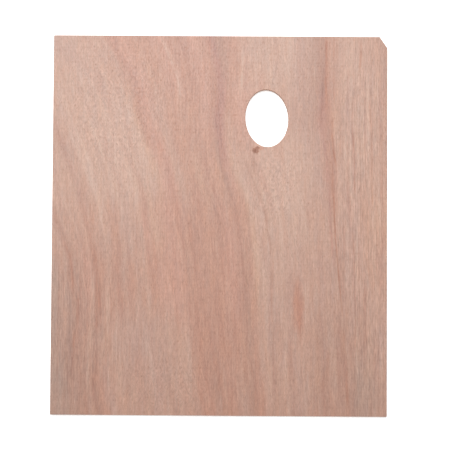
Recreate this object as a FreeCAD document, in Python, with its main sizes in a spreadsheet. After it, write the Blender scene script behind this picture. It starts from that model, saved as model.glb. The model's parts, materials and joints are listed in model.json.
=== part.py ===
"""A rectangular artist's mixing palette, sawn from one sheet of five-ply plywood.

Five plies are stacked with their grain crossed and bonded by four glue lines. All nine
sheets share one outline: a rectangle with one clipped corner and an oval thumb hole. The
two outer plies are eased along the arrises that a hand touches.

Frame: millimetres, +Z up through the mixing face, +Y along the face grain towards the end
with the thumb hole. The origin is the middle of the back face, which lies on the table.
"""

import FreeCAD, Part
import os
import Sketcher

# Alias, value in millimetres (or degrees), what it is.
DIMENSIONS = [
    ("board_width", 300.0, "across the face grain"),
    ("board_length", 340.0, "along the face grain"),
    ("clip_across", 7.0, "clipped corner, measured along the end"),
    ("clip_down", 10.0, "clipped corner, measured along the side"),
    ("corner_ease", 0.6, "plan radius on the board's corners"),
    ("hole_width", 38.4, "thumb hole, short diameter"),
    ("hole_length", 51.4, "thumb hole, long diameter"),
    ("hole_from_side", 108.0, "thumb hole's centre from the right side"),
    ("hole_from_end", 74.0, "thumb hole's centre from the top end"),
    ("hole_tilt", 4.1, "degrees the long diameter leans towards the left"),
    ("face_thickness", 0.7, "outer veneers, grain along the board"),
    ("crossband_thickness", 1.1, "second and fourth plies, grain across the board"),
    ("core_thickness", 1.0, "middle ply, grain along the board"),
    ("glue_thickness", 0.1, "each cured glue line"),
    ("arris_ease", 0.3, "radius sanded on the outer arrises"),
    ("hole_ease", 0.45, "radius sanded on the thumb hole's arrises"),
]

# The stack from the table upwards: label, the thickness cell, the eased face if it has one.
STACK = [
    ("back_face_veneer", "face_thickness", "underside"),
    ("glue_line_1", "glue_thickness", None),
    ("back_crossband", "crossband_thickness", None),
    ("glue_line_2", "glue_thickness", None),
    ("core_ply", "core_thickness", None),
    ("glue_line_3", "glue_thickness", None),
    ("front_crossband", "crossband_thickness", None),
    ("glue_line_4", "glue_thickness", None),
    ("front_face_veneer", "face_thickness", "upper side"),
]

TOLERANCE = 1e-6
SKETCH_ORIGIN = (-1, 1)  # Sketcher's own numbering: geometry -1, point 1
LINE_START, LINE_END, ELLIPSE_CENTRE = 1, 2, 3

doc = FreeCAD.newDocument("mixing_palette")


def make_sheet():
    """The spreadsheet of driving dimensions, one alias to a row."""
    sheet = doc.addObject("Spreadsheet::Sheet", "sizes")
    for row, (alias, value, meaning) in enumerate(DIMENSIONS, start=1):
        sheet.set(f"A{row}", meaning)
        sheet.set(f"B{row}", str(value))
        sheet.setAlias(f"B{row}", alias)
    doc.recompute()
    return sheet


def sketch_on_base(body, name):
    """An empty sketch on the body's own XY plane."""
    plane = next(f for f in body.Origin.OriginFeatures if f.Role == "XY_Plane")
    sketch = body.newObject("Sketcher::SketchObject", name)
    sketch.AttachmentSupport = [(plane, "")]
    sketch.MapMode = "FlatFace"
    return sketch


def bind(sketch, name, kind, *target):
    """Adds a named constraint of this kind, to be driven by an expression."""
    index = sketch.addConstraint(Sketcher.Constraint(kind, *target))
    sketch.renameConstraint(index, name)
    return f"Constraints.{name}"


def draw_outline(sketch, sizes):
    """The board's outline: a rectangle about the origin whose top right corner is clipped."""
    half_x, half_y = sizes.board_width / 2, sizes.board_length / 2
    corners = [
        FreeCAD.Vector(-half_x, -half_y),
        FreeCAD.Vector(half_x, -half_y),
        FreeCAD.Vector(half_x, half_y - sizes.clip_down),
        FreeCAD.Vector(half_x - sizes.clip_across, half_y),
        FreeCAD.Vector(-half_x, half_y),
    ]
    sides = range(len(corners))
    for i in sides:
        ends = (corners[i], corners[(i + 1) % len(corners)])
        sketch.addGeometry(Part.LineSegment(*ends))
    for i in sides:
        joint = (i, LINE_END, (i + 1) % len(corners), LINE_START)
        sketch.addConstraint(Sketcher.Constraint("Coincident", *joint))
    bottom, right, clip, top, left = sides
    for side in (bottom, top):
        sketch.addConstraint(Sketcher.Constraint("Horizontal", side))
    for side in (right, left):
        sketch.addConstraint(Sketcher.Constraint("Vertical", side))

    # Every distance is measured from the origin, so that the board grows about its middle.
    # Name, kind, what it ties together, its size now, and the formula that drives it.
    places = [
        ("left_edge", "DistanceX", (left, LINE_END, *SKETCH_ORIGIN), half_x, "board_width / 2"),
        ("right_edge", "DistanceX", (*SKETCH_ORIGIN, right, LINE_START), half_x, "board_width / 2"),
        ("bottom_edge", "DistanceY", (bottom, LINE_START, *SKETCH_ORIGIN), half_y, "board_length / 2"),
        ("top_edge", "DistanceY", (*SKETCH_ORIGIN, top, LINE_END), half_y, "board_length / 2"),
        ("clip_run", "DistanceX", (clip, LINE_END, clip, LINE_START), sizes.clip_across, "clip_across"),
        ("clip_drop", "DistanceY", (clip, LINE_START, clip, LINE_END), sizes.clip_down, "clip_down"),
    ]
    for name, kind, points, value, formula in places:
        sketch.setExpression(bind(sketch, name, kind, *points, value), f"sizes.{formula}")


def draw_thumb_hole(sketch, sizes):
    """An ellipse about the sketch's origin, which its attachment carries to the hole's place."""
    half_long, half_short = sizes.hole_length / 2, sizes.hole_width / 2
    middle = FreeCAD.Vector(0, 0)
    ends = (FreeCAD.Vector(0, half_long), FreeCAD.Vector(half_short, 0))
    oval = sketch.addGeometry(Part.Ellipse(*ends, middle))
    sketch.exposeInternalGeometry(oval)
    long_axis, short_axis = oval + 1, oval + 2
    centre = (oval, ELLIPSE_CENTRE, *SKETCH_ORIGIN)
    sketch.addConstraint(Sketcher.Constraint("Coincident", *centre))
    sketch.addConstraint(Sketcher.Constraint("Vertical", long_axis))
    length = bind(sketch, "long_diameter", "Distance", long_axis, 2 * half_long)
    width = bind(sketch, "short_diameter", "Distance", short_axis, 2 * half_short)
    sketch.setExpression(length, "sizes.hole_length")
    sketch.setExpression(width, "sizes.hole_width")
    place = {
        "Base.x": "sizes.board_width / 2 - sizes.hole_from_side",
        "Base.y": "sizes.board_length / 2 - sizes.hole_from_end",
        "Rotation.Angle": "sizes.hole_tilt",
    }
    for part, formula in place.items():
        sketch.setExpression(f"AttachmentOffset.{part}", formula)


def edge_names(shape, wanted):
    """The names of the shape's edges for which wanted(edge) is true."""
    return [f"Edge{i}" for i, edge in enumerate(shape.Edges, start=1) if wanted(edge)]


def is_upright(edge):
    """True for an edge of a corner, which runs straight through the sheet."""
    if len(edge.Vertexes) != 2:
        return False
    low, high = (vertex.Point for vertex in edge.Vertexes)
    return (high - low).cross(FreeCAD.Vector(0, 0, 1)).Length < TOLERANCE


def lies_at(edge, height):
    """True for an edge that lies flat at this height."""
    box = edge.BoundBox
    return abs(box.ZMin - height) < TOLERANCE and abs(box.ZMax - height) < TOLERANCE


def ease(body, base, names, radius_cell, title):
    """Rounds the named edges of the base feature with the radius in that cell."""
    fillet = body.newObject("PartDesign::Fillet", title)
    fillet.Base = (base, names)
    fillet.setExpression("Radius", f"sizes.{radius_cell}")
    doc.recompute()
    return fillet


def ease_arrises(body, base, height):
    """Sands the outer arris first, then the arris of the thumb hole, on the face at height.

    The thumb hole's edge is the only one that closes on itself.
    """

    def arris(shape, closed):
        return edge_names(shape, lambda e: lies_at(e, height) and e.isClosed() == closed)

    eased = ease(body, base, arris(base.Shape, False), "arris_ease", "arris_ease")
    return ease(body, eased, arris(eased.Shape, True), "hole_ease", "hole_ease")


def make_ply(sizes, label, thickness_cell, eased_side, below):
    """One sheet of the stack, resting on the sheets whose thickness cells are in below."""
    body = doc.addObject("PartDesign::Body", label)
    body.Label = label

    outline = sketch_on_base(body, "outline")
    draw_outline(outline, sizes)
    blank = body.newObject("PartDesign::Pad", "blank")
    blank.Profile = outline
    blank.setExpression("Length", f"sizes.{thickness_cell}")
    doc.recompute()

    hole_sketch = sketch_on_base(body, "thumb_hole_outline")
    draw_thumb_hole(hole_sketch, sizes)
    hole = body.newObject("PartDesign::Pocket", "thumb_hole")
    hole.Profile = hole_sketch
    hole.Type = "ThroughAll"
    hole.Reversed = True  # the sketch lies on the underside, so the cut goes up
    doc.recompute()
    if not hole.Shape.Volume < blank.Shape.Volume:
        raise RuntimeError(f"{label}: the thumb hole cuts nothing")

    tip = ease(body, hole, edge_names(hole.Shape, is_upright), "corner_ease", "corners")
    if eased_side:
        thickness = getattr(sizes, thickness_cell)
        tip = ease_arrises(body, tip, thickness if eased_side == "upper side" else 0.0)
    body.Tip = tip

    height = " + ".join(f"sizes.{cell}" for cell in below)
    if height:
        body.setExpression("Placement.Base.z", height)
    return body


def check(bodies):
    """Stops if any object failed, or any sheet isn't one valid solid."""
    for item in doc.Objects:
        if {"Invalid", "Error"} & set(item.State):
            raise RuntimeError(f"{item.Name} failed: {item.State}")
    for body in bodies:
        shape = body.Shape
        if shape.isNull() or not shape.isValid() or len(shape.Solids) != 1:
            raise RuntimeError(f"{body.Label} isn't one valid solid")


def main():
    sizes = make_sheet()
    bodies = []
    below = []
    for label, thickness_cell, eased_side in STACK:
        bodies.append(make_ply(sizes, label, thickness_cell, eased_side, below))
        below.append(thickness_cell)
    doc.recompute()
    check(bodies)
    os.makedirs("parts", exist_ok=True)
    for body in bodies:
        body.Shape.exportStep(f"parts/{body.Label}.step")
        box = body.Shape.optimalBoundingBox()
        print(
            f"{body.Label}: {box.XLength:.2f} x {box.YLength:.2f} x {box.ZLength:.2f} mm,"
            f" from z {box.ZMin:.2f}, volume {body.Shape.Volume:.0f} mm3"
        )


main()
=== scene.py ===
# %% [markdown]
# # A painter's mixing palette, sawn from five-ply board
#
# The object is one flat board, held by a thumb through its oval hole. It looks simple, but the
# real one is nine sheets: five plies of veneer with crossed grain, and the four films of glue
# between them. From above only the front veneer shows. The edge and the hole show them all.
#
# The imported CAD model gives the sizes. It is loaded first and never moved, and each sheet here
# is a finer surface that stands for one CAD sheet.

# %% Load the frame
import json
import math

import bpy
import numpy as np
from mathutils import Matrix, Vector


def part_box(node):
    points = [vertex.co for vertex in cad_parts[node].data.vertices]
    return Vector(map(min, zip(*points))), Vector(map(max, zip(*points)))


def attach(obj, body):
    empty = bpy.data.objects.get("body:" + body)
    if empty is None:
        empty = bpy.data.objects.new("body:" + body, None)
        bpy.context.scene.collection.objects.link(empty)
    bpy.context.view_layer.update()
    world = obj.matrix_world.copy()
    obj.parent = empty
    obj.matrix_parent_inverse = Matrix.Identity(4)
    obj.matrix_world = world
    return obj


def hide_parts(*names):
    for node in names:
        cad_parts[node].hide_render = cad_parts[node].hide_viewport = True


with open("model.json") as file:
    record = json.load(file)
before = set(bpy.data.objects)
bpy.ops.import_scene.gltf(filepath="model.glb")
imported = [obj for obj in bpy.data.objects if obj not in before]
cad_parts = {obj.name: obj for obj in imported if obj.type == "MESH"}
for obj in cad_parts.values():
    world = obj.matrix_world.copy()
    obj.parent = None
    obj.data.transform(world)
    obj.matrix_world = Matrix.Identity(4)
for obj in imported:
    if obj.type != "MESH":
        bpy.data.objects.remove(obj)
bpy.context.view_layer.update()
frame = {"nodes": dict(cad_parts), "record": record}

MM = 0.001
record = frame["record"]
print("sheets from the CAD model:", ", ".join(sorted(frame["nodes"])))

# %% [markdown]
# ## Where the board is
#
# The box of the front veneer gives the board's sides. The thumb hole's middle comes from the
# record's mount. Its half lengths and lean are measured on the CAD mesh, because every vertex
# near that middle lies on the hole's rim. An oval round its own middle obeys
# a x² + b xy + c y² = 1, so least squares on those vertices gives a, b and c, and the matrix
# they make has the oval's axes as eigenvectors.

# %% Board and thumb hole
NEAR_HOLE = 40 * MM


def cad_points(node):
    """The vertices of a CAD sheet, one row each."""
    vertices = frame["nodes"][node].data.vertices
    flat = np.empty(len(vertices) * 3, np.float32)
    vertices.foreach_get("co", flat)
    return flat.reshape(-1, 3).astype(float)


def fit_oval(points):
    """Half lengths, longest first, and unit axes of the oval that passes through points."""
    x, y = points.T
    terms = np.stack([x * x, x * y, y * y], axis=1)
    a, b, c = np.linalg.lstsq(terms, np.ones(len(points)), rcond=None)[0]
    values, axes = np.linalg.eigh([[a, b / 2], [b / 2, c]])
    return values**-0.5, axes.T


board_low, board_high = (np.array(corner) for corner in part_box("front_face_veneer"))
thumb_mount = next(m for m in record["mounts"] if m["name"] == "thumb_hole")
hole_centre = np.array(thumb_mount["pos_m"][:2])

from_hole = cad_points("core_ply")[:, :2] - hole_centre
rim_points = from_hole[np.linalg.norm(from_hole, axis=1) < NEAR_HOLE]
hole_halves, hole_axes = fit_oval(rim_points)
print("board:", np.round((board_high - board_low)[:2] / MM, 2), "mm")
print("hole:", np.round(2 * hole_halves / MM, 2), "mm, its long axis along", hole_axes[0])

# %% [markdown]
# ## The outline
#
# A saw leaves a board with straight sides and one clipped corner, and sandpaper takes the
# corners down to a small radius. Such an outline is easy to write as a sum: take the board
# moved in by the radius, and add the radius times the outward normal. Along a side the normal
# stays the same. At a corner the place stays and the normal turns, which draws the arc. Keeping
# the normal with each place pays off later, because every bevel and every saw mark is a small
# step along it.

# %% Outline of the board
CLIP_ACROSS = 7 * MM
CLIP_DOWN = 10 * MM
CORNER_RADIUS = 0.6 * MM
CORNER_STEPS = 5
RIM_STEP = 1.4 * MM


def rounded_outline(corners, radius, step, corner_steps):
    """Places and outward normals round a convex board, anticlockwise.

    The board is moved in by radius, and each place there goes out again by radius times the
    normal: a corner takes corner_steps places as its normal turns, a side one place a step.
    """
    sides = np.roll(corners, -1, axis=0) - corners
    lengths = np.linalg.norm(sides, axis=1)
    normals = np.stack([sides[:, 1], -sides[:, 0]], axis=1) / lengths[:, None]
    bearings = np.unwrap(np.arctan2(normals[:, 1], normals[:, 0]))
    reach = (normals * corners).sum(axis=1) - radius
    # Each inner corner lies on the two moved sides that meet there.
    meeting = np.stack([np.roll(normals, 1, axis=0), normals], axis=1)
    reaches = np.stack([np.roll(reach, 1), reach], axis=1)
    inner = np.linalg.solve(meeting, reaches[..., None])[..., 0]

    places, turned = [], []
    for i, bearing in enumerate(bearings):
        before = bearings[i - 1] if i else bearings[-1] - 2 * math.pi
        places.append(np.repeat(inner[i : i + 1], corner_steps, axis=0))
        turned.append(np.linspace(before, bearing, corner_steps))
        share = np.linspace(0, 1, int(lengths[i] / step))[1:-1, None]
        run = inner[(i + 1) % len(corners)] - inner[i]
        places.append(inner[i] + share * run)
        turned.append(np.full(len(share), bearing))
    turned = np.concatenate(turned)
    outward = np.stack([np.cos(turned), np.sin(turned)], axis=1)
    return np.concatenate(places) + radius * outward, outward


left, bottom = board_low[:2]
right, top = board_high[:2]
sharp_corners = np.array(
    [
        (left, bottom),
        (right, bottom),
        (right, top - CLIP_DOWN),
        (right - CLIP_ACROSS, top),
        (left, top),
    ]
)
edge_place, edge_normal = rounded_outline(sharp_corners, CORNER_RADIUS, RIM_STEP, CORNER_STEPS)
columns = len(edge_place)

# How far each outline reaches in every direction settles a convex shape, so compare those.
cad_reach = (edge_normal @ cad_points("core_ply")[:, :2].T).max(axis=1)
gap = np.abs(cad_reach - (edge_normal * edge_place).sum(axis=1)).max()
print(f"{columns} places round the board, within {gap / MM:.3f} mm of the CAD outline")

# %% [markdown]
# ## A plate with a hole is a ring
#
# One grid of places can cover the whole sheet, inside and out. Its columns go round the board.
# Its rows go up the wall of the hole, over the face to the board's edge, down the edge, and
# home along the underside. Both ways the grid meets itself, as on a ring doughnut, so there is
# no pole and no seam to close. Every column runs straight away from the hole's middle, and it
# starts where it crosses the oval.

# %% Rim of the hole, place for place with the edge
def oval_rim(towards):
    """Places on the hole's rim in these directions from its middle, and normals into the wood.

    In the oval's own axes a unit direction meets the rim at 1 / |direction / halves|, and the
    normal there is the place divided by halves squared, made unit long.
    """
    unit = towards / np.linalg.norm(towards, axis=1)[:, None]
    own = unit @ hole_axes.T
    place = own / np.linalg.norm(own / hole_halves, axis=1)[:, None]
    slope = place / hole_halves**2
    slope /= np.linalg.norm(slope, axis=1)[:, None]
    return hole_centre + place @ hole_axes, slope @ hole_axes


def distance_round(places):
    """How far along the closed line of places each one is, and the line's whole length."""
    steps = np.linalg.norm(np.roll(places, -1, axis=0) - places, axis=1)
    return np.cumsum(steps) - steps, steps.sum()


hole_place, hole_normal = oval_rim(edge_place - hole_centre)
edge_distance, edge_length = distance_round(edge_place)
hole_distance, hole_length = distance_round(hole_place)
print(f"round the board {edge_length / MM:.1f} mm, round the hole {hole_length / MM:.1f} mm")

# %% [markdown]
# ## The section through an edge
#
# Where a hand touches the board, sandpaper has turned each sharp arris into a quarter circle.
# A Bevel modifier could round it, but it would have to guess where to stop. Here the section is
# drawn first, as insets and heights up the wall, and then carried round the rim, so every row
# of the surface lies where it is wanted.

# %% The section through an edge
ROUND_STEPS = 6
WALL_STEPS = 5
FLAT_STRIP = 0.2 * MM


def wall_profile(z_low, z_high, round_low, round_high):
    """Insets and heights up a wall, from just inside the underside to just inside the face.

    A rounded arris is a quarter circle, and its inset is measured from the upright wall. A
    narrow flat strip follows it, so that smooth shading doesn't bleed over the whole face.
    """
    quarter = np.linspace(0, math.pi / 2, ROUND_STEPS)
    turn_low = quarter if round_low else quarter[-1:]
    turn_high = quarter if round_high else quarter[:1]
    upright = np.linspace(z_low + round_low, z_high - round_high, WALL_STEPS)[1:-1]
    inset = [
        [round_low + FLAT_STRIP],
        round_low * (1 - np.sin(turn_low)),
        np.zeros(len(upright)),
        round_high * (1 - np.cos(turn_high)),
        [round_high + FLAT_STRIP],
    ]
    height = [
        [z_low],
        z_low + round_low * (1 - np.cos(turn_low)),
        upright,
        z_high - round_high * (1 - np.sin(turn_high)),
        [z_high],
    ]
    return np.concatenate(inset), np.concatenate(height)


# %% [markdown]
# ## Tool marks
#
# No sawn and sanded edge is perfectly smooth, and a mathematically straight one gives a render
# away. The saw leaves a ripple along the edge, the sanding block leaves shallow dips on the
# face, and glue, which is brittle, breaks back a little behind the wood. All of them only take
# wood away, so the board never grows past its CAD size.

# %% Saw ripple, sanding dips and the knot's hollow
SAW_DEPTH = 0.07 * MM
EDGE_WAVES = (7, 18, 41, 97, 173, 229)  # how many fit round the board
HOLE_WAVES = (3, 5, 9, 17, 29)  # and round the hole
DIP_DEPTH = 0.05 * MM
# Radians a metre across and along the board, and the start of each wave.
DIP_WAVES = [(41, 17, 1.0), (-23, 36, 2.2), (66, -12, 0.4)]
KNOT = (33.2, 66.9)  # its middle in millimetres
KNOT_HOLLOW = 0.12 * MM
KNOT_REACH = 2.6 * MM


def ripple(distance, length, waves, seed):
    """A closed random curve from 0 to 1: waves that fit length a whole number of times are
    added up with random starts, then scaled to their own lowest and highest value."""
    start = np.random.default_rng(seed).uniform(0, 2 * math.pi, len(waves))
    turns = 2 * math.pi * distance[:, None] * np.array(waves) / length
    curve = np.sin(turns + start).sum(axis=1)
    return (curve - curve.min()) / np.ptp(curve)


def face_dips(x, y):
    """How far a face is sanded down: slow waves that cross at odd angles, from 0 to DIP_DEPTH,
    and a round hollow over the pin knot that fades as a bell curve."""
    waves = sum(np.sin(across * x + along * y + start) for across, along, start in DIP_WAVES)
    share = 0.5 + waves / (2 * len(DIP_WAVES))
    away = np.hypot(x - KNOT[0] * MM, y - KNOT[1] * MM) / KNOT_REACH
    return DIP_DEPTH * share + KNOT_HOLLOW * np.exp(-(away**2))


edge_saw = ripple(edge_distance, edge_length, EDGE_WAVES, seed=4)
hole_saw = ripple(hole_distance, hole_length, HOLE_WAVES, seed=9)
deepest = (SAW_DEPTH * edge_saw.max() / MM, SAW_DEPTH * hole_saw.max() / MM)
print("saw marks up to", np.round(deepest, 3), "mm deep, on the edge and in the hole")

# %% [markdown]
# ## One sheet
#
# The real sheets were pressed into one board before the saw went round, so all nine share their
# rims and their saw marks. Nine Boolean cuts would show that too, but they leave long thin
# triangles. One function lays the grid of any sheet instead, from its two heights. A side that
# is glued needs few rows. The side that is seen gets many, for the dips and for the figure.

# %% One sheet as a grid
ARRIS_ROUND = 0.3 * MM
HOLE_ROUND = 0.45 * MM
FACE_SPREAD = 1.5
GLUED_ROWS = 3


def across_face(start, stop, rows):
    """Rows between two walls: each is a mix of both, and they lie closer together near start."""
    share = np.linspace(0, 1, rows + 2)[1:-1, None, None] ** FACE_SPREAD
    return start + share * (stop - start)


def sheet_grid(z_low, z_high, recess=0.0, eased=None, seen_rows=GLUED_ROWS):
    """The sheet's places: rows up the hole, over the face, down the edge and back underneath.

    Each wall row is the rim moved into the wood by the profile's inset, the saw's ripple and
    the recess. The eased side is seen and has more rows than a side that is glued.
    """
    low, high = (float(eased == side) for side in ("under", "face"))
    hole_in, hole_z = wall_profile(z_low, z_high, HOLE_ROUND * low, HOLE_ROUND * high)
    edge_in, edge_z = wall_profile(z_low, z_high, ARRIS_ROUND * low, ARRIS_ROUND * high)

    def wall(place, into_wood, inset, height, saw):
        """The rim moved into the wood by each row's depth, at each row's height."""
        depth = inset[:, None] + SAW_DEPTH * saw + recess
        flat = place + depth[..., None] * into_wood
        z = np.broadcast_to(height[:, None, None], (len(height), columns, 1))
        return np.concatenate([flat, z], axis=2)

    hole = wall(hole_place, hole_normal, hole_in, hole_z, hole_saw)
    edge = wall(edge_place, -edge_normal, edge_in, edge_z, edge_saw)[::-1]
    face = across_face(hole[-1], edge[0], seen_rows if high else GLUED_ROWS)
    under = across_face(hole[0], edge[-1], seen_rows if low else GLUED_ROWS)[::-1]
    return np.concatenate([hole, face, edge, under])


def sand(grid, z_still, z_face):
    """Sinks the places near z_face by the dips: the whole dip at z_face, none at z_still."""
    x, y, z = np.moveaxis(grid, 2, 0)
    nearness = np.clip((z - z_still) / (z_face - z_still), 0, 1)
    z -= math.copysign(1, z_face - z_still) * nearness * face_dips(x, y)
    return grid


# %% [markdown]
# ## Grain as a coordinate
#
# Wood is drawn out along its fibres, so every fine pattern on it is easiest in the wood's own
# measure: how far across the fibres, how far along them, and how deep. Each sheet carries that
# measure as an attribute named grain, and its material never has to know which way the sheet
# lies.
#
# The broad bands are another matter. Fibres run straight up the trunk, but growth rings are
# cones, and a knife that meets them at a shallow angle lays their bands at a lean. On the front
# veneer they sweep to the left towards the end with the hole, and hardly lean on the right. A
# few ring lines are written down as a person with a rule would read them off a board: where
# each one crosses a row of heights. A second attribute, rings, counts from line to line, so
# that a band which keeps its count follows the sweep. A third, end_grain, says how squarely the
# surface cuts the fibres.

# %% The ring lines
LINE_TOP = 170  # the highest row of places, in mm
LINE_STEP = 40  # from one row to the next
# The count on each line, and the line's place across at each height from the top down, in mm.
RING_LINES = [
    (-152, (-262, -230, -205, -185, -170, -153, -150, -150, -150, -150)),
    (-131, (-240, -210, -185, -165, -150, -132, -129, -130, -131, -130)),
    (-108, (-190, -165, -146, -130, -115, -110, -107, -108, -107, -99)),
    (-34, (-102, -79, -67, -53, -44, -37, -31, -24, -16, -8)),
    (25, (-9, 0, -3, 2, 16, 23, 26, 29, 33, 38)),
    (48, (11, 13, 15, 27, 42, 47, 48, 49, 51, 53)),
    (110, (100, 100, 100, 103, 105, 108, 112, 116, 119, 121)),
    (150, (150, 150, 150, 150, 150, 150, 150, 150, 150, 150)),
]


def along_line(places, y):
    """A line's place across at height y: the Catmull-Rom curve through its places, whose slope
    at each one is half the step between its two neighbours."""
    steps_down = (LINE_TOP - y / MM) / LINE_STEP
    i = np.clip(np.floor(steps_down).astype(int), 0, len(places) - 2)
    f = steps_down - i
    p = np.pad(np.array(places, float), 1, mode="reflect", reflect_type="odd")
    a, b, c, d = p[i], p[i + 1], p[i + 2], p[i + 3]
    bend = (2 * a - 5 * b + 4 * c - d) * f**2 + (3 * b - a - 3 * c + d) * f**3
    return (b + ((c - a) * f + bend) / 2) * MM


def ring_count(x, y):
    """The count at a place: the first line's, and for every gap between lines its rise in count
    times the share of the gap that lies to the left of the place."""
    count = np.full(x.shape, RING_LINES[0][0] * MM)
    for (low, from_places), (high, to_places) in zip(RING_LINES, RING_LINES[1:]):
        start, stop = along_line(from_places, y), along_line(to_places, y)
        count += (high - low) * MM * np.clip((x - start) / (stop - start), 0, 1)
    return count


PITH_ACROSS = -45 * MM
PITH_WAVE = 9 * MM
PITH_SLOPE = 0.16
PITH_START = -400 * MM


def arched_count(x, y):
    """The back veneer's rings: a flat cut through a cone leaves arches. The count is the
    distance from the pith, which wavers across and lies deeper the further up the board."""
    across = x - PITH_ACROSS + PITH_WAVE * np.sin(13 * y)
    return np.hypot(across, PITH_SLOPE * (y - PITH_START))


# %% The fibres
# In each sine the factor is in radians a metre: 11 to 14 makes about one bend on the board.
def front_grain(x, y):
    """Across and along the front veneer's fibres: nearly x and y, with a slow wave, and with
    the lines opened round the pin knot, because fibres flow past it."""
    dx, dy = x / MM - KNOT[0], y / MM - KNOT[1]
    parted = 1.5 * MM * np.tanh(dx / 2) * np.exp(-((dx / 6) ** 2) - (dy / 9) ** 2)
    return x - parted + 1.5 * MM * np.sin(11 * y + 3 * x), y


def long_grain(x, y):
    """A ply that lies lengthwise, with a slow wave in its fibres."""
    return x + 2 * MM * np.sin(14 * y + 1) + 0.03 * y, y


def cross_grain(x, y):
    """A ply that lies crosswise."""
    return y + 2 * MM * np.sin(11 * x + 2) - 0.02 * x, x


# %% [markdown]
# ## The nine sheets
#
# From the table up there are the back veneer, a crossband, the core, a crossband and the front
# veneer, with a film of glue between each pair. The crossbands turn their grain by a right
# angle, which keeps a real board from splitting or curling. Solidify could thicken nine flat
# outlines, but then the walls would carry neither saw marks nor rounded arrises. So each grid
# becomes a closed mesh as it stands, and its signed volume shows that it faces outwards.

# %% Grid to mesh
SHARP_TURN = math.radians(35)


def into_scene(name, data):
    """A new object at the origin, linked to the scene."""
    item = bpy.data.objects.new(name, data)
    bpy.context.scene.collection.objects.link(item)
    return item


def ring_mesh(name, grid):
    """A closed mesh over a grid that meets itself both ways: place (i, j) joins (i+1, j),
    (i+1, j+1) and (i, j+1), counted round, in the order that faces outwards."""
    rows, cols = grid.shape[:2]
    i, j = np.mgrid[0:rows, 0:cols]
    i_next, j_next = (i + 1) % rows, (j + 1) % cols
    quads = np.stack([i * cols + j, i_next * cols + j, i_next * cols + j_next, i * cols + j_next])
    mesh = bpy.data.meshes.new(name)
    mesh.from_pydata(grid.reshape(-1, 3), [], quads.reshape(4, -1).T)
    mesh.shade_smooth()
    mesh.set_sharp_from_angle(angle=SHARP_TURN)
    return into_scene(name, mesh)


def give_number(mesh, name, values):
    """One number for every vertex, kept under this name."""
    mesh.attributes.new(name, "FLOAT", "POINT").data.foreach_set("value", values)


def give_vector(mesh, name, rows):
    """One vector for every vertex, kept under this name."""
    mesh.attributes.new(name, "FLOAT_VECTOR", "POINT").data.foreach_set("vector", rows.ravel())


# %% Measures on a mesh
def squareness(mesh, fibre):
    """How squarely the surface cuts the fibres at each vertex: the share of its normal that
    lies along them, 0 on a face and 1 on end grain."""
    normals = np.empty(len(mesh.vertices) * 3, np.float32)
    mesh.vertex_normals.foreach_get("vector", normals)
    return np.abs(normals.reshape(-1, 3) @ fibre)


def volume_inside(mesh):
    """Signed volume: each triangle makes a tetrahedron with the origin, and they add up to the
    space inside, above zero when the faces point outwards."""
    mesh.calc_loop_triangles()
    corners = np.empty(len(mesh.loop_triangles) * 3, np.int32)
    mesh.loop_triangles.foreach_get("vertices", corners)
    places = np.empty(len(mesh.vertices) * 3, np.float32)
    mesh.vertices.foreach_get("co", places)
    a, b, c = places.astype(float).reshape(-1, 3)[corners].reshape(-1, 3, 3).swapaxes(0, 1)
    return (np.cross(a, b) * c).sum() / 6


# %% The nine sheets
GLUE_RECESS = 0.02 * MM
# Piece, the CAD sheet it stands for, slot, eased side, fibres, and rows on the seen side.
SHEETS = [
    ("face_sheet_back", "back_face_veneer", "face_veneer", "under", long_grain, 56),
    ("glue_film_1", "glue_line_1", "glue", None, cross_grain, GLUED_ROWS),
    ("cross_sheet_back", "back_crossband", "crossband", None, cross_grain, GLUED_ROWS),
    ("glue_film_2", "glue_line_2", "glue", None, cross_grain, GLUED_ROWS),
    ("core_sheet", "core_ply", "core", None, long_grain, GLUED_ROWS),
    ("glue_film_3", "glue_line_3", "glue", None, cross_grain, GLUED_ROWS),
    ("cross_sheet_front", "front_crossband", "crossband", None, cross_grain, GLUED_ROWS),
    ("glue_film_4", "glue_line_4", "glue", None, cross_grain, GLUED_ROWS),
    ("face_sheet_front", "front_face_veneer", "face_veneer", "face", front_grain, 70),
]

sheets = {}
for name, node, slot, eased, grain, seen_rows in SHEETS:
    z_low, z_high = (corner.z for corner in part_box(node))
    recess = GLUE_RECESS if slot == "glue" else 0.0
    grid = sheet_grid(z_low, z_high, recess, eased, seen_rows)
    if eased == "face":
        grid = sand(grid, z_low, z_high)
    if eased == "under":
        grid = sand(grid, z_high, z_low)
    x, y, z = grid.reshape(-1, 3).T
    sheet = ring_mesh(name, grid)
    give_vector(sheet.data, "grain", np.stack([*grain(x, y), z], axis=1))
    fibre = (1, 0, 0) if grain is cross_grain else (0, 1, 0)
    give_number(sheet.data, "end_grain", squareness(sheet.data, fibre))
    if slot == "face_veneer":
        count = ring_count if eased == "face" else arched_count
        give_number(sheet.data, "rings", count(x, y))
    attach(sheet, "root")
    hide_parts(node)
    sheets[name] = sheet
    size = volume_inside(sheet.data) / MM**3
    print(f"{name}: z {z_low / MM:.1f} to {z_high / MM:.1f} mm, {size:.0f} mm3 inside,"
          f" {2 * len(sheet.data.polygons)} triangles")


# %% [markdown]
# ## Mixing a finish from nodes
#
# A wood finish is a stack of quiet patterns, each at its own scale. Building it one node at a
# time by hand takes a page for every pattern, so a small class keeps the tree and offers the
# few moves that a finish needs: measure, noise, ramp, mix. Each move adds nodes and gives back
# the socket to go on from. Colours are written as they look on a screen, 0 to 255, and turned
# into the linear light that shaders work in. Noise is sized in cells to the metre, so 600
# across and 20 along draws marks about 1.7 mm wide and 50 mm long.

# %% A finish in the making
NOISE_LOW, NOISE_HIGH = 0.25, 0.75  # smooth noise hardly ever leaves this range


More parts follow.
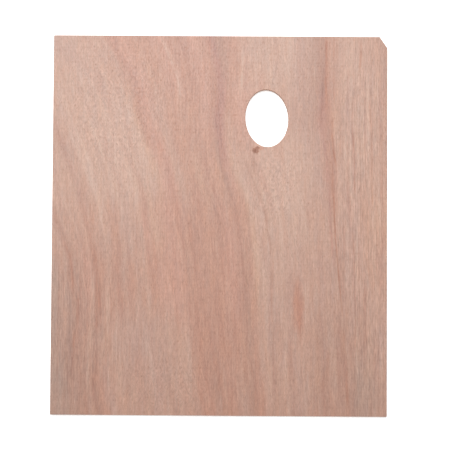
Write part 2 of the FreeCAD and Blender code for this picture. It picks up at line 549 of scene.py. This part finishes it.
def screen(red, green, blue):
    """Screen values, 0 to 255, as linear light with full alpha."""
    value = np.array((red, green, blue)) / 255
    linear = np.where(value > 0.04045, ((value + 0.055) / 1.055) ** 2.4, value / 12.92)
    return (*linear.tolist(), 1.0)


class Finish:
    """A node material whose moves each add a node and give back its output socket."""

    def __init__(self, name):
        self.material = bpy.data.materials.new(name)
        self.material.use_nodes = True
        self.tree = self.material.node_tree
        self.shader = self.tree.nodes["Principled BSDF"]

    def add(self, kind, sockets=(), **settings):
        """One node with these settings. Each socket is filled with a value or with a link."""
        node = self.tree.nodes.new(kind)
        for name, value in settings.items():
            setattr(node, name, value)
        for socket, value in dict(sockets).items():
            self.fill(node.inputs[socket], value)
        return node

    def fill(self, socket, value):
        """Links the value to the socket if it is a socket too, and else sets it there."""
        if isinstance(value, bpy.types.NodeSocket):
            self.tree.links.new(value, socket)
        else:
            socket.default_value = value

    def math(self, operation, *values):
        """One sum or comparison of numbers."""
        return self.add("ShaderNodeMath", enumerate(values), operation=operation).outputs[0]

    def scaled(self, vector, factors):
        """A vector with each part times its factor."""
        sockets = {0: vector, 1: factors}
        return self.add("ShaderNodeVectorMath", sockets, operation="MULTIPLY").outputs[0]

    def noise(self, vector, across, along, detail=2.0, roughness=0.5):
        """Smooth noise with this many cells a metre across and in depth, and along."""
        cells = self.scaled(vector, (across, along, across))
        sockets = {"Vector": cells, "Scale": 1.0, "Detail": detail, "Roughness": roughness}
        return self.add("ShaderNodeTexNoise", sockets).outputs[0]

    def swing(self, noise, reach):
        """Noise as a distance, from -reach to reach."""
        return self.spread(noise, NOISE_LOW, NOISE_HIGH, -reach, reach)

    def spread(self, value, low, high, to_low=0.0, to_high=1.0, smooth=False):
        """Maps low..high onto to_low..to_high and holds it there outside."""
        sockets = {0: value, 1: low, 2: high, 3: to_low, 4: to_high}
        kind = "SMOOTHSTEP" if smooth else "LINEAR"
        return self.add("ShaderNodeMapRange", sockets, interpolation_type=kind).outputs[0]

    def ramp(self, value, stops):
        """A colour that passes through the stops, (position, colour) from 0 to 1."""
        node = self.add("ShaderNodeValToRGB", {0: value})
        elements = node.color_ramp.elements
        while len(elements) < len(stops):
            elements.new(0.5)
        for element, (position, colour) in zip(elements, stops):
            element.position = position
            element.color = colour
        return node.outputs[0]

    def mix(self, factor, a, b, blend="MIX"):
        """Colour a turned towards b, or blended with it, by the factor."""
        node = self.add("ShaderNodeMix", data_type="RGBA", blend_type=blend)
        self.fill(node.inputs[0], factor)
        self.fill(node.inputs[6], a)
        self.fill(node.inputs[7], b)
        return node.outputs[2]

    def stain(self, colour, mask, strength, stained):
        """The colour turned towards the stained one, by the mask times the strength."""
        return self.mix(self.math("MULTIPLY", mask, strength), colour, stained)

    def tinted(self, colour, amount, low, high):
        """The colour times a tint that goes from low to high as the amount goes from 0 to 1."""
        tint = self.mix(amount, (*low, 1.0), (*high, 1.0))
        return self.mix(1.0, colour, tint, "MULTIPLY")

    def moved(self, vector, across):
        """A vector moved across by this much."""
        step = self.add("ShaderNodeCombineXYZ", {0: across}).outputs[0]
        return self.add("ShaderNodeVectorMath", {0: vector, 1: step}).outputs[0]

    def patch(self, place, middle, radii):
        """An oval patch of the board, its middle and radii in millimetres: 1 up to half its
        radii, 0 from one and a half times them."""
        middle_m = (middle[0] * MM, middle[1] * MM, 0)
        away = self.add("ShaderNodeVectorMath", {0: place, 1: middle_m}, operation="SUBTRACT")
        per_radius = (1 / (radii[0] * MM), 1 / (radii[1] * MM), 0)
        ovals = self.scaled(away.outputs[0], per_radius)
        reach = self.add("ShaderNodeVectorMath", {0: ovals}, operation="LENGTH").outputs["Value"]
        return self.spread(reach, 0.5, 1.5, 1.0, 0.0, smooth=True)

    def attribute(self, name, output):
        """One of the sheet's own attributes."""
        return self.add("ShaderNodeAttribute", attribute_name=name).outputs[output]


# %% [markdown]
# ## Wood fibre, from broad to fine
#
# Every sheet here is the same kind of timber, so they share one recipe for what a sanded
# board shows close to. Ribbons a few millimetres wide run along the rings, and drifts of pink
# and yellow cross them. Streaks run straight down the fibres, and so do long threads, though
# only where the grain is straight. Short flecks, where fibres dive in and out of the face, are
# partly their own colour and partly painted reflection: the shimmer of light on them is painted
# in as lighter and darker marks that stay put. They sway where the grain is curly. Open pores
# are dark dashes as thin as a hair.
#
# All of these are solid patterns, stretched along the fibres. So where the saw cut across the
# fibres, the same patterns are met end on and show as dots. End grain also takes in more dirt,
# so it is darker.

# %% Pairs of tints
def even(amount):
    """A pair of tints that darken and lighten all colours alike, by this share either way."""
    return (1 - amount,) * 3, (1 + amount,) * 3


def warm(amount):
    """A pair of tints from reddish dark to yellowish light: red swings less than the others."""
    low = (1 - 0.6 * amount, 1 - amount, 1 - 1.05 * amount)
    high = (1 + 0.6 * amount, 1 + amount, 1 + 1.05 * amount)
    return low, high


# %% The shared wood recipe
def wood_layers(finish, grain, flow, colour, curl, contrast=1.0):
    """The colour with its patterns from broad to fine, and the height that goes with it.

    Ribbons follow flow, the measure across the rings. Drifts of hue, streaks, flecks and pores
    follow grain, the measure across the fibres. curl, from 0 to 1, sways and shortens the
    flecks, and where it is near 0 long threads are added."""
    bend = finish.noise(flow, 45, 24)
    bent = finish.moved(flow, finish.swing(bend, 2.0 * MM))
    leaned = finish.moved(grain, finish.swing(bend, 0.8 * MM))
    sway = finish.swing(finish.noise(grain, 200, 140, detail=1), 1.5 * MM)
    waved = finish.moved(leaned, finish.math("MULTIPLY", sway, curl))
    straight = finish.spread(curl, 0.0, 0.4, 1.0, 0.0)

    ribbons = finish.noise(bent, 230, 12, roughness=0.6)
    hues = finish.noise(leaned, 200, 34, detail=3, roughness=0.6)
    streaks = finish.noise(leaned, 600, 20, detail=3, roughness=0.75)
    threads = finish.noise(leaned, 760, 6, roughness=0.7)
    # Flecks: partly the fibres' own colour and partly painted reflection, the shimmer of light
    # where fibres dive in and out of the face, fixed as marks.
    long_flecks_and_sheen = finish.noise(waved, 950, 130, roughness=0.6)
    short_flecks_and_sheen = finish.noise(waved, 850, 300, roughness=0.6)
    flecks_and_sheen = finish.mix(curl, long_flecks_and_sheen, short_flecks_and_sheen)
    fibres = finish.noise(waved, 5000, 90, roughness=0.6)
    pores = finish.noise(waved, 5200, 380, detail=1)
    hollow = finish.spread(pores, 0.58, 0.70)  # only the highest peaks are open pores

    colour = finish.tinted(colour, ribbons, *warm(0.20 * contrast))
    colour = finish.tinted(colour, hues, (0.93, 1.01, 1.09), (1.07, 0.99, 0.91))
    colour = finish.tinted(colour, streaks, *warm(0.26 * contrast))
    threaded = finish.tinted(colour, threads, *warm(0.37 * contrast))
    colour = finish.mix(straight, colour, threaded)
    # Painted reflection and fibre colour: the flecks lighten and darken all colours alike.
    colour = finish.tinted(colour, flecks_and_sheen, *even(0.38 * contrast))
    colour = finish.tinted(colour, fibres, *even(0.22 * contrast))
    colour = finish.tinted(colour, hollow, (1, 1, 1), (0.78, 0.70, 0.66))
    end_grain = finish.attribute("end_grain", "Fac")
    colour = finish.tinted(colour, end_grain, (1, 1, 1), (0.80, 0.75, 0.71))
    height = finish.math("SUBTRACT", finish.math("MULTIPLY", fibres, 0.4), hollow)
    return colour, height


def finish_surface(finish, colour, height, roughness, bump):
    """Sets the shader: colour, bump in metres, and roughness, which rises in the hollows."""
    shader = finish.shader
    finish.fill(shader.inputs["Base Color"], colour)
    rough = finish.spread(height, -1.0, 0.3, roughness + 0.12, roughness - 0.01)
    finish.fill(shader.inputs["Roughness"], rough)
    shader.inputs["Specular IOR Level"].default_value = 0.5
    sockets = {"Height": height, "Distance": bump, "Strength": 1.0}
    finish.fill(shader.inputs["Normal"], finish.add("ShaderNodeBump", sockets).outputs[0])


# %% [markdown]
# ## The figure of the front veneer
#
# What a painter sees first is the figure: bands of cream, rose and clay that sweep down the
# board, a mauve streak through its middle, and a dark red one on the right. A band keeps its
# ring count and changes slowly along its length. So the figure is written down as a woodworker
# would read it, from left to right across the rings, at seven heights of the board, and the
# material blends from one height to the next. The tones are named, to be read like a recipe.

# %% Tones of the veneer
LIGHT_ON_WOOD = 1.0
SHEEN_ON_WOOD = 0.078


def tone(red, green, blue):
    """A wood tone as it looks under the lights, turned back to the colour of the wood: less
    the grey sheen, divided by the light."""
    lit = (np.array(screen(red, green, blue)[:3]) - SHEEN_ON_WOOD) / LIGHT_ON_WOOD
    return (*lit.tolist(), 1.0)


PEARL = tone(211, 176, 160)
CREAM = tone(208, 173, 157)
STRAW = tone(208, 170, 152)
SAND = tone(205, 168, 152)
FAWN = tone(202, 167, 153)
DUN = tone(199, 163, 148)
ROSE = tone(207, 164, 148)
SALMON = tone(203, 161, 144)
CLAY = tone(199, 157, 141)
HEATHER = tone(194, 156, 141)
MAUVE = tone(192, 149, 137)
ASH = tone(191, 161, 148)

# %% Bands of the front veneer
# At each height in millimetres: the ring count and the tone there.
FIGURE = {
    150: [(-88, CREAM), (-70, FAWN), (-60, CREAM), (-54, SAND), (-44, SAND), (-40, SAND),
          (-35, CLAY), (-30, ROSE), (-20, SALMON), (-11, SALMON), (-5, ROSE), (0, CLAY), (6, CLAY),
          (14, ROSE), (21, SALMON), (26, MAUVE), (31, HEATHER), (36, HEATHER), (42, SALMON),
          (50, SALMON), (56, SAND), (68, CREAM), (84, CREAM), (91, FAWN), (98, DUN),
          (101, HEATHER), (105, HEATHER), (108, SALMON), (113, SAND), (124, CREAM),
          (141, SAND), (148, DUN)],
    100: [(-112, DUN), (-106, SAND), (-100, PEARL), (-90, CREAM), (-72, CREAM), (-50, PEARL),
          (-44, CREAM), (-40, STRAW), (-35, CLAY), (-30, ROSE), (-20, SAND), (-12, SALMON),
          (0, SALMON), (8, SALMON), (15, ROSE), (20, CLAY), (25, MAUVE), (31, MAUVE),
          (36, CLAY), (42, SALMON), (50, ROSE), (80, STRAW), (86, FAWN), (96, DUN),
          (100, DUN), (104, MAUVE), (109, CLAY), (114, STRAW), (122, FAWN), (131, CREAM),
          (141, CREAM), (147, SAND)],
    50: [(-125, PEARL), (-115, CREAM), (-110, FAWN), (-105, CREAM), (-98, PEARL), (-89, CREAM),
         (-74, PEARL), (-64, PEARL), (-58, CREAM), (-44, PEARL), (-39, STRAW), (-34, ROSE),
         (-24, ROSE), (-19, SAND), (-9, SALMON), (4, STRAW), (10, CLAY), (18, SALMON),
         (25, HEATHER), (30, ROSE), (35, STRAW), (40, PEARL), (46, SAND), (51, SAND),
         (58, PEARL), (76, PEARL), (86, CREAM), (99, FAWN), (105, CLAY), (109, CLAY),
         (116, CREAM), (145, SAND)],
    0: [(-142, SAND), (-135, FAWN), (-130, HEATHER), (-124, SAND), (-115, SAND), (-110, SALMON),
        (-105, SAND), (-99, CREAM), (-94, SAND), (-89, SALMON), (-80, FAWN), (-64, SAND),
        (-60, ROSE), (-52, STRAW), (-36, ROSE), (-22, CLAY), (-14, CLAY),
        (-2, SALMON), (6, CLAY), (15, ROSE), (25, CLAY), (30, SALMON), (35, STRAW),
        (40, PEARL), (48, CREAM), (57, PEARL), (66, CREAM), (80, CREAM), (86, SAND),
        (107, SAND), (124, FAWN), (134, STRAW)],
    -50: [(-150, ASH), (-140, DUN), (-133, HEATHER), (-125, DUN), (-116, ROSE), (-110, HEATHER),
          (-105, CLAY), (-99, SAND), (-90, CLAY), (-85, SAND), (-77, CLAY), (-65, SAND),
          (-60, SALMON), (-48, ROSE), (-35, ROSE), (-25, CLAY), (-16, SALMON), (-10, CLAY),
          (0, SALMON), (15, ROSE), (25, HEATHER), (30, SALMON), (35, STRAW), (40, CREAM),
          (46, FAWN), (56, CREAM), (66, FAWN), (80, SAND), (98, FAWN), (108, DUN),
          (116, FAWN), (130, SAND)],
    -100: [(-150, ASH), (-140, DUN), (-135, ASH), (-130, HEATHER), (-124, DUN), (-115, DUN),
           (-110, HEATHER), (-105, DUN), (-99, SAND), (-90, FAWN), (-60, FAWN), (-45, SAND),
           (-36, SAND), (-30, CLAY), (-20, SALMON), (-14, CLAY), (0, CLAY), (10, CLAY),
           (15, SALMON), (25, HEATHER), (30, SALMON), (35, SAND), (40, SAND), (46, FAWN),
           (75, SAND), (85, DUN), (100, DUN), (105, HEATHER), (111, DUN), (120, DUN),
           (134, DUN), (145, FAWN)],
    -150: [(-150, ASH), (-143, ASH), (-116, HEATHER), (-110, HEATHER), (-105, CLAY), (-100, FAWN),
           (-93, SAND), (-86, DUN), (-79, SAND), (-71, DUN), (-64, FAWN), (-55, DUN),
           (-45, SAND), (-40, DUN), (-34, CLAY), (-24, CLAY), (-15, HEATHER), (0, CLAY),
           (14, DUN), (21, HEATHER), (30, CLAY), (40, SAND), (46, DUN), (55, SAND),
           (61, DUN), (66, FAWN), (79, DUN), (86, HEATHER), (98, DUN), (105, HEATHER),
           (119, ASH), (146, DUN)],
}
FIGURE_LOW = -152
FIGURE_HIGH = 150
print("bands written at", ", ".join(str(height) for height in FIGURE), "mm")


def figure(finish, across, along):
    """Ramps across the rings, one for each written height, blended from height to height."""
    place = finish.spread(across, FIGURE_LOW * MM, FIGURE_HIGH * MM)
    heights = sorted(FIGURE)
    colour = None
    for below, height in zip([None, *heights], heights):
        stops = [
            ((count - FIGURE_LOW) / (FIGURE_HIGH - FIGURE_LOW), name)
            for count, name in FIGURE[height]
        ]
        bands = finish.ramp(place, stops)
        if below is None:
            colour = bands
            continue
        passed = finish.spread(along, below * MM, height * MM, smooth=True)
        colour = finish.mix(passed, colour, bands)
    return colour


# %% [markdown]
# ## Veins
#
# Some lines in the figure are too thin for the table of bands: pores filled with dark gum, the
# last row of cells of a year, a pale line where the knife left the fibres torn. Each is a soft
# line along one ring count, between two heights, broken up along its length by noise.

# %% Veins of the front veneer
EBONY = tone(150, 112, 98)
RUST = tone(180, 122, 98)
BRICK = tone(189, 140, 122)
MILK = tone(216, 184, 168)

VEIN_FADE = 1.6  # a vein is gone at this many half widths
VEIN_TAPER = 10  # mm at each end
# Ring count, half width, top and bottom in millimetres, tone, strength.
VEINS = [
    (26.5, 1.8, 150, 84, MAUVE, 0.7),
    (26.5, 0.8, 138, 92, EBONY, 0.2),
    (24.5, 1.2, 88, 8, HEATHER, 0.7),
    (25.5, 1.6, 5, -170, HEATHER, 0.6),
    (103.5, 1.3, 142, 82, EBONY, 0.5),
    (99.0, 3.0, 158, 88, EBONY, 0.1),
    (104.0, 1.2, 84, -40, MAUVE, 0.7),
    (106.0, 1.1, 178, 100, RUST, 0.45),
    (110.0, 0.8, 98, 48, RUST, 0.55),
    (107.5, 0.7, 60, -84, RUST, 0.5),
    (106.5, 1.4, -90, -175, BRICK, 0.5),
    (111.5, 0.6, 175, 105, RUST, 0.35),
    (130.0, 0.7, 172, 112, BRICK, 0.6),
    (125.0, 0.7, 90, 24, BRICK, 0.55),
    (138.5, 0.7, 110, 5, BRICK, 0.5),
    (121.0, 0.6, 30, -80, BRICK, 0.35),
    (47.5, 2.2, 64, 15, HEATHER, 0.45),
    (47.5, 1.2, 24, -175, HEATHER, 0.85),
    (10.5, 0.8, 125, 85, HEATHER, 0.7),
    (6.5, 1.2, 35, -24, HEATHER, 0.7),
    (-36.0, 2.0, 155, 85, CLAY, 0.7),
    (-26.0, 1.4, -5, -55, HEATHER, 0.7),
    (-11.0, 0.8, -30, -66, HEATHER, 0.8),
    (-10.0, 1.4, -105, -150, HEATHER, 0.6),
    (-30.0, 2.0, -115, -175, CLAY, 0.6),
    (-133.0, 1.6, -12, -62, BRICK, 0.5),
    (-128.0, 1.6, -58, -90, BRICK, 0.7),
    (-131.0, 1.2, -92, -135, BRICK, 0.5),
    (-108.5, 2.6, -15, -100, BRICK, 0.45),
    (-109.5, 3.0, -92, -175, HEATHER, 0.75),
    (-3.5, 1.4, 175, 104, MILK, 0.6),
    (53.0, 0.8, 175, 115, MILK, 0.5),
    (-113.0, 0.9, -20, -70, MILK, 0.45),
    (76.5, 0.8, -38, -92, MILK, 0.6),
    (117.5, 0.8, -45, -140, MILK, 0.45),
]


def vein(finish, across, along, broken, colour, line):
    """Colour turned to the vein's tone: most on its line, a third as much at its half width,
    tapering at both ends, and times the broken noise."""
    count, half_width, top_end, bottom_end, name, strength = line
    away = finish.math("ABSOLUTE", finish.math("SUBTRACT", across, count * MM))
    near = finish.spread(away, 0.0, VEIN_FADE * half_width * MM, strength, 0.0, smooth=True)
    below_top = finish.spread(along, (top_end - VEIN_TAPER) * MM, top_end * MM, 1.0, 0.0)
    above_end = finish.spread(along, bottom_end * MM, (bottom_end + VEIN_TAPER) * MM)
    kept = finish.math("MULTIPLY", finish.math("MULTIPLY", below_top, above_end), broken)
    return finish.stain(colour, near, kept, name)


# %% [markdown]
# ## Curly and straight grain
#
# In some places the fibres of this timber weave to and fro, and the sanded face shimmers with
# short flecks, here partly fibre colour and partly painted reflection. In others they run
# straight, and long threads show. An image mask could say where, but a few oval patches with
# ragged borders do it too, and stay sharp close to.

# %% Where the grain is curly or straight
# Middle and radii in millimetres.
CURLY_PATCHES = [
    ((-92, 105), (46, 72)),
    ((50, 38), (22, 32)),
    ((-50, -145), (45, 26)),
]
STRAIGHT_PATCHES = [
    ((135, 0), (42, 220)),
    ((-125, -95), (42, 80)),
]
COMMON_CURL = 0.45


def curl_of_grain(finish, grain):
    """From 0 to 1: the common curl, raised to 1 in the curly patches and let down to 0 in the
    straight ones, all with ragged borders."""
    ragged = finish.moved(grain, finish.swing(finish.noise(grain, 40, 25), 12 * MM))
    curl = COMMON_CURL
    for middle, radii in CURLY_PATCHES:
        curly = finish.patch(ragged, middle, radii)
        curl = finish.math("MAXIMUM", curl, curly)
    for middle, radii in STRAIGHT_PATCHES:
        straight = finish.patch(ragged, middle, radii)
        curl = finish.math("MINIMUM", curl, finish.math("SUBTRACT", 1.0, straight))
    return curl


# %% [markdown]
# ## Knot and lens
#
# A pin knot is the root of a twig, cut across: a dark round end with a reddish tail where the
# bark closed over it. Lower down on the right lies a reddish lens, a pocket of darker wood with
# pointed ends. Both are placed by their middles and radii, with their borders shaken by noise.

# %% Knot and lens
LENS_MIDDLE = (70.5, -73.5)
LENS_RADII = (4.6, 26)


def knot(finish, grain, colour):
    """A dark core with a tongue and a darker heart, a reddish tail towards the hole, and a
    faint streak running down. All but the streak have their soft borders drawn in, because a
    knot ends sharply."""
    jitter = finish.noise(grain, 500, 400, detail=3, roughness=0.6)
    near = finish.moved(grain, finish.swing(jitter, 0.9 * MM))
    x, y = KNOT
    streak = finish.patch(near, (x - 1.5, y - 12), (1.3, 9))
    tail = finish.spread(finish.patch(near, (x + 4, y + 2), (3, 1.4)), 0.2, 0.9)
    tongue = finish.patch(near, (x + 1.4, y + 2.2), (0.9, 1.7))
    core = finish.math("MAXIMUM", tongue, finish.patch(near, KNOT, (1.9, 2.2)))
    core = finish.spread(core, 0.3, 0.6)
    heart = finish.spread(finish.patch(near, (x, y - 0.3), (0.7, 1.3)), 0.3, 0.6)
    colour = finish.stain(colour, streak, 0.5, HEATHER)
    colour = finish.stain(colour, tail, 0.6, tone(204, 150, 130))
    colour = finish.stain(colour, core, 0.9, tone(170, 126, 108))
    return finish.stain(colour, heart, 0.7, tone(148, 106, 90))


def lens(finish, grain, colour):
    """A reddish pocket, more than five times as long as it is wide."""
    near = finish.moved(grain, finish.swing(finish.noise(grain, 120, 30), 2.5 * MM))
    pocket = finish.patch(near, LENS_MIDDLE, LENS_RADII)
    return finish.stain(colour, pocket, 0.65, tone(197, 147, 129))


# %% [markdown]
# ## The whole front
#
# The finish is built up as one would stain a plain board to look like this one: the bands
# first, then veins, lens and knot, and the fibres over everything. Ring counts are shaken a
# little before they are used, because no growth ring is a drawn curve.


# %% Front veneer
def along_rings(finish, grain):
    """The ring count, the measure along the fibres, and both with the depth as one vector."""
    rings = finish.attribute("rings", "Fac")
    parts = finish.add("ShaderNodeSeparateXYZ", {0: grain}).outputs
    flow = finish.add("ShaderNodeCombineXYZ", {0: rings, 1: parts[1], 2: parts[2]}).outputs[0]
    return rings, parts[1], flow


def front_veneer():
    """The figure, with its bands wandering across and ending at different heights, and on it
    the broken veins, the lens, the knot and the fibres."""
    finish = Finish("sanded_front_veneer")
    grain = finish.attribute("grain", "Vector")
    rings, along, flow = along_rings(finish, grain)
    wander = finish.swing(finish.noise(flow, 80, 18, detail=3), 1.4 * MM)
    shift = finish.swing(finish.noise(flow, 120, 10, detail=1), 15 * MM)
    across = finish.math("ADD", rings, wander)
    colour = figure(finish, across, finish.math("ADD", along, shift))
    broken = finish.spread(finish.noise(flow, 500, 60), 0.30, 0.60)
    waver = finish.swing(finish.noise(flow, 40, 22), 1.2 * MM)
    veined = finish.math("ADD", rings, waver)
    for line in VEINS:
        colour = vein(finish, veined, along, broken, colour, line)
    colour = lens(finish, grain, colour)
    colour = knot(finish, grain, colour)
    curl = curl_of_grain(finish, grain)
    colour, height = wood_layers(finish, grain, flow, colour, curl)
    finish_surface(finish, colour, height, 0.47, 0.03 * MM)
    return finish.material


# %% [markdown]
# ## The sheets behind, and the glue
#
# The other plies show on the edge, in the hole and underneath. Nobody looks there for a figure,
# so noise drawn out along the fibres picks among three tones, which is quick and never repeats.
# Cured glue is a brittle brown film with small lumps.

# %% Plies and glue
def hidden_wood(name, dark, middle, light, contrast, has_rings=False):
    """The sheets behind the front one: bands of three tones, then the shared recipe."""
    finish = Finish(name)
    grain = finish.attribute("grain", "Vector")
    flow = along_rings(finish, grain)[2] if has_rings else grain
    bands = finish.noise(flow, 110, 4, detail=3, roughness=0.6)
    stops = [(0.34, dark), (0.42, middle), (0.50, light), (0.55, middle), (0.66, light)]
    base = finish.ramp(bands, stops)
    curl = finish.noise(grain, 12, 8, detail=1)
    colour, height = wood_layers(finish, grain, flow, base, curl, contrast)
    finish_surface(finish, colour, height, 0.6, 0.04 * MM)
    return finish.material


def glue_line():
    """Two browns picked by round lumps, which stand up a little as well."""
    finish = Finish("cured_glue")
    grain = finish.attribute("grain", "Vector")
    lumps = finish.noise(grain, 900, 900, detail=3)
    colour = finish.ramp(lumps, [(0.35, screen(92, 60, 42)), (0.65, screen(158, 118, 90))])
    finish_surface(finish, colour, lumps, 0.5, 0.03 * MM)
    return finish.material


# %% Finishes onto the sheets
finishes = {
    "face_sheet_front": front_veneer(),
    "face_sheet_back": hidden_wood("sanded_back_veneer", MAUVE, DUN, CREAM, 1.1, has_rings=True),
    "cross_sheet": hidden_wood(
        "crossband_wood", tone(170, 131, 110), tone(184, 145, 122), tone(196, 158, 134), 1.4
    ),
    "core_sheet": hidden_wood(
        "core_wood", tone(192, 156, 130), tone(204, 170, 144), tone(214, 182, 156), 1.2
    ),
    "glue_film": glue_line(),
}
for name, sheet in sheets.items():
    kind = next(k for k in finishes if name.startswith(k))
    sheet.data.materials.append(finishes[kind])
for material in finishes.values():
    print(f"{material.name}: {len(material.node_tree.nodes)} nodes")

# %% [markdown]
# ## Studio
#
# The board lies flat on a pale table, seen from nearly straight above through a long lens, so
# that its sides hardly converge. The table glows a little, which keeps it nearly white. One big
# lamp beyond the far end and an even sky light the board softly.

# %% Floor
FLOOR_SIZE = 20.0
TABLE_GLOW = 0.6

floor_mesh = bpy.data.meshes.new("table_top")
half_floor = FLOOR_SIZE / 2
floor_corners = [(-half_floor, -half_floor, 0), (half_floor, -half_floor, 0)]
floor_corners += [(half_floor, half_floor, 0), (-half_floor, half_floor, 0)]
floor_mesh.from_pydata(floor_corners, [], [(0, 1, 2, 3)])
floor = into_scene("table_top", floor_mesh)
floor_finish = Finish("pale_table")
floor_finish.shader.inputs["Base Color"].default_value = (0.9, 0.9, 0.9, 1)
floor_finish.shader.inputs["Roughness"].default_value = 0.9
floor_finish.shader.inputs["Specular IOR Level"].default_value = 0.0
floor_finish.shader.inputs["Emission Color"].default_value = (1, 1, 1, 1)
floor_finish.shader.inputs["Emission Strength"].default_value = TABLE_GLOW
floor_mesh.materials.append(floor_finish.material)

# %% Camera
FOCAL_LENGTH = 85.0
FILM_WIDTH = 36.0
CAMERA_PLACE = Vector((10.4, -29.5, 959.3)) * MM
CAMERA_AIM = Vector((5.9, -0.9, 5.0)) * MM
CAMERA_ROLL = math.radians(0.36)

camera_data = bpy.data.cameras.new("camera")
camera_data.lens = FOCAL_LENGTH
camera_data.sensor_width = FILM_WIDTH
camera_data.clip_start = 0.01
camera = into_scene("camera", camera_data)
# A camera looks down its own -Z, so its Z points back from the aim.
backward = (CAMERA_PLACE - CAMERA_AIM).normalized()
side = Vector((0, 1, 0)).cross(backward).normalized()
upward = backward.cross(side)
turn = Matrix((side, upward, backward)).transposed().to_4x4()
roll = Matrix.Rotation(CAMERA_ROLL, 4, "Z")
camera.matrix_world = Matrix.Translation(CAMERA_PLACE) @ turn @ roll
bpy.context.scene.camera = camera
print(f"camera {(CAMERA_PLACE - CAMERA_AIM).length / MM:.0f} mm from the board")

# %% Lights
LAMP_PLACE = (-0.15, 0.78, 2.3)
LAMP_SIZE = (0.9, 0.7)
LAMP_POWER = 50
SKY_STRENGTH = 0.25


def softbox(name, place, aim, size, power):
    """A rectangular lamp that faces aim, its size in metres and its power in watts."""
    data = bpy.data.lights.new(name, "AREA")
    data.shape = "RECTANGLE"
    data.size, data.size_y = size
    data.energy = power
    lamp = into_scene(name, data)
    lamp.location = place
    lamp.rotation_euler = (Vector(aim) - Vector(place)).to_track_quat("-Z", "Y").to_euler()


softbox("window", LAMP_PLACE, (0, 0, 0), LAMP_SIZE, LAMP_POWER)

world = bpy.data.worlds.new("studio")
world.use_nodes = True
sky = world.node_tree.nodes["Background"]
sky.inputs["Color"].default_value = (1, 1, 1, 1)
sky.inputs["Strength"].default_value = SKY_STRENGTH
bpy.context.scene.world = world
bpy.context.scene.view_settings.view_transform = "Standard"
